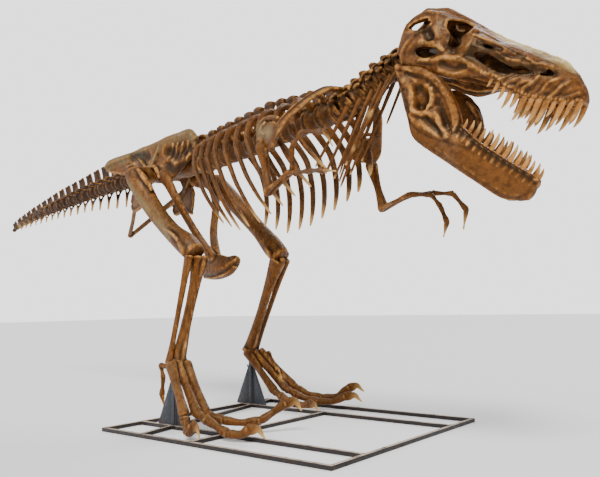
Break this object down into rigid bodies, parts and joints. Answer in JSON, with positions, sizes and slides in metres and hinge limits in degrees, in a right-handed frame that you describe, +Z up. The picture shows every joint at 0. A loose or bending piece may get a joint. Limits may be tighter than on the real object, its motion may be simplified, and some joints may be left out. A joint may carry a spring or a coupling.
{
  "type": "mounted tyrannosaurus rex skeleton cast",
  "caption": "Life-size mounted Tyrannosaurus rex skeleton cast, striding with open jaws, on its welded steel floor frame.",
  "frame": {"origin": "centre of the bounding box at the floor", "axes": "+X forward along the floor frame's long side, +Y to the animal's left, +Z up"},
  "size_m": [9.8326, 2.6754, 3.1846],
  "materials": {
    "skull_bone": "bronze-brown cast bone, satin",
    "pelvis_bone": "olive-tan cast bone, satin",
    "bone": "bronze-brown cast bone, satin",
    "frame_steel": "near-black painted square tube, dusty on top",
    "brace_steel": "dark blue-grey painted plate"
  },
  "bodies": {
    "root": {"skull": "skull_bone", "lower_jaw": "skull_bone", "sacrum": "pelvis_bone", "ilium_right": "pelvis_bone", "ilium_left": "pelvis_bone", "pubes": "pelvis_bone", "ischia": "pelvis_bone", "scapula_right": "pelvis_bone", "scapula_left": "pelvis_bone", "neck": "bone", "trunk_right": "bone", "trunk_left": "bone", "tail_base": "bone", "tail_mid": "bone", "tail_tip": "bone", "humerus_right": "bone", "forearm_right": "bone", "hand_right": "bone", "femur_right": "bone", "tibia_right": "bone", "fibula_right": "bone", "metatarsus_right": "bone", "toe_2_right": "bone", "toe_3_right": "bone", "toe_4_right": "bone", "humerus_left": "bone", "forearm_left": "bone", "hand_left": "bone", "femur_left": "bone", "tibia_left": "bone", "fibula_left": "bone", "metatarsus_left": "bone", "toe_2_left": "bone", "toe_3_left": "bone", "toe_4_left": "bone", "stand_rail_near": "frame_steel", "stand_rail_far": "frame_steel", "stand_rail_front": "frame_steel", "stand_rail_rear": "frame_steel", "stand_rail_right": "frame_steel", "stand_rail_left": "frame_steel", "stand_cross_1": "frame_steel", "stand_cross_2": "frame_steel", "stand_slant_1": "frame_steel", "stand_slant_2": "frame_steel", "stand_slant_3": "frame_steel", "stand_post_right": "brace_steel", "stand_post_left": "brace_steel", "stand_gusset_right_front": "brace_steel", "stand_gusset_right_rear": "brace_steel", "stand_gusset_left_front": "brace_steel", "stand_gusset_left_rear": "brace_steel"}
  },
  "joints": []
}
